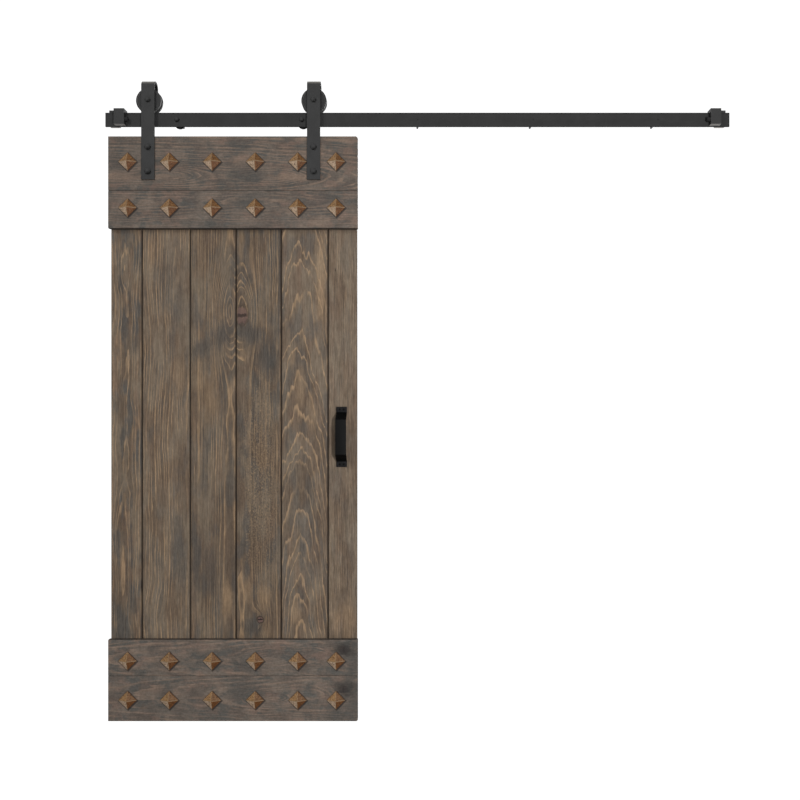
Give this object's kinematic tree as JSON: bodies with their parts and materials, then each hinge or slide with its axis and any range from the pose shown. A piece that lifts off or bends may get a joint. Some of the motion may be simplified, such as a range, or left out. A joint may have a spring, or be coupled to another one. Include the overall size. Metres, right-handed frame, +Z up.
{
  "type": "sliding barn door with wall track",
  "caption": "Plank barn door with pyramid-studded cross boards and a bent flat-bar pull, hung by bent-strap hangers on grooved wheels that roll along a flat wall track with end stops.",
  "frame": {"origin": "on the wall plane, at the centre of the track's five wall fixings, which is the middle fixing on the rail's centre line", "axes": "+X to the right along the track, +Y into the wall, +Z up"},
  "size_m": [2.286, 0.1235, 2.3382],
  "materials": {
    "plank_wood": "matte",
    "board_wood": "matte",
    "dark_paint": "matte",
    "black_paint": "satin",
    "rusty_iron": "matte",
    "zinc_steel": "satin",
    "bearing_steel": "polished",
    "bumper_rubber": "matte"
  },
  "bodies": {
    "track": {"rail": "dark_paint", "standoff_1": "dark_paint", "standoff_2": "dark_paint", "standoff_3": "dark_paint", "standoff_4": "dark_paint", "standoff_5": "dark_paint", "domed_wall_bolts": "dark_paint", "flush_wall_bolts": "dark_paint", "end_stop_left": "dark_paint", "end_stop_right": "dark_paint", "bumper_left": "bumper_rubber", "bumper_right": "bumper_rubber", "stop_set_screws": "dark_paint"},
    "door": {"plank_1": "plank_wood", "plank_2": "plank_wood", "plank_3": "plank_wood", "plank_4": "plank_wood", "plank_5": "plank_wood", "plank_6": "plank_wood", "top_board_upper": "board_wood", "top_board_lower": "board_wood", "bottom_board_upper": "board_wood", "bottom_board_lower": "board_wood", "studs_row_1": "rusty_iron", "studs_row_2": "rusty_iron", "studs_row_3": "rusty_iron", "studs_row_4": "rusty_iron", "board_screws": "zinc_steel", "handle": "black_paint", "handle_screws": "black_paint", "strap_left": "dark_paint", "door_bolts_left": "dark_paint", "door_washers_left": "zinc_steel", "door_nuts_left": "zinc_steel", "axle_bolt_left": "dark_paint", "axle_spacers_left": "zinc_steel", "axle_washer_left": "zinc_steel", "axle_nut_left": "zinc_steel", "bearing_inner_left": "bearing_steel", "strap_right": "dark_paint", "door_bolts_right": "dark_paint", "door_washers_right": "zinc_steel", "door_nuts_right": "zinc_steel", "axle_bolt_right": "dark_paint", "axle_spacers_right": "zinc_steel", "axle_washer_right": "zinc_steel", "axle_nut_right": "zinc_steel", "bearing_inner_right": "bearing_steel"},
    "left_wheel": {"wheel_left": "dark_paint", "bearing_outer_left": "bearing_steel", "bearing_balls_left": "bearing_steel"},
    "right_wheel": {"wheel_right": "dark_paint", "bearing_outer_right": "bearing_steel", "bearing_balls_right": "bearing_steel"}
  },
  "joints": [
    {"name": "door_slide", "type": "slide", "parent": "track", "child": "door", "axis": [1, 0, 0], "range_m": [-0.0492, 1.4087]},
    {"name": "left_wheel_spin", "type": "hinge", "parent": "door", "child": "left_wheel", "pos_m": [-0.9815, -0.037, 0.0662], "axis": [0, 1, 0], "continuous": true},
    {"name": "right_wheel_spin", "type": "hinge", "parent": "door", "child": "right_wheel", "pos_m": [-0.378, -0.037, 0.0662], "axis": [0, 1, 0], "continuous": true}
  ],
  "couplings": [
    {"joint": "left_wheel_spin", "follows": "door_slide", "rad_per_m": 24.691},
    {"joint": "right_wheel_spin", "follows": "door_slide", "rad_per_m": 24.691}
  ]
}
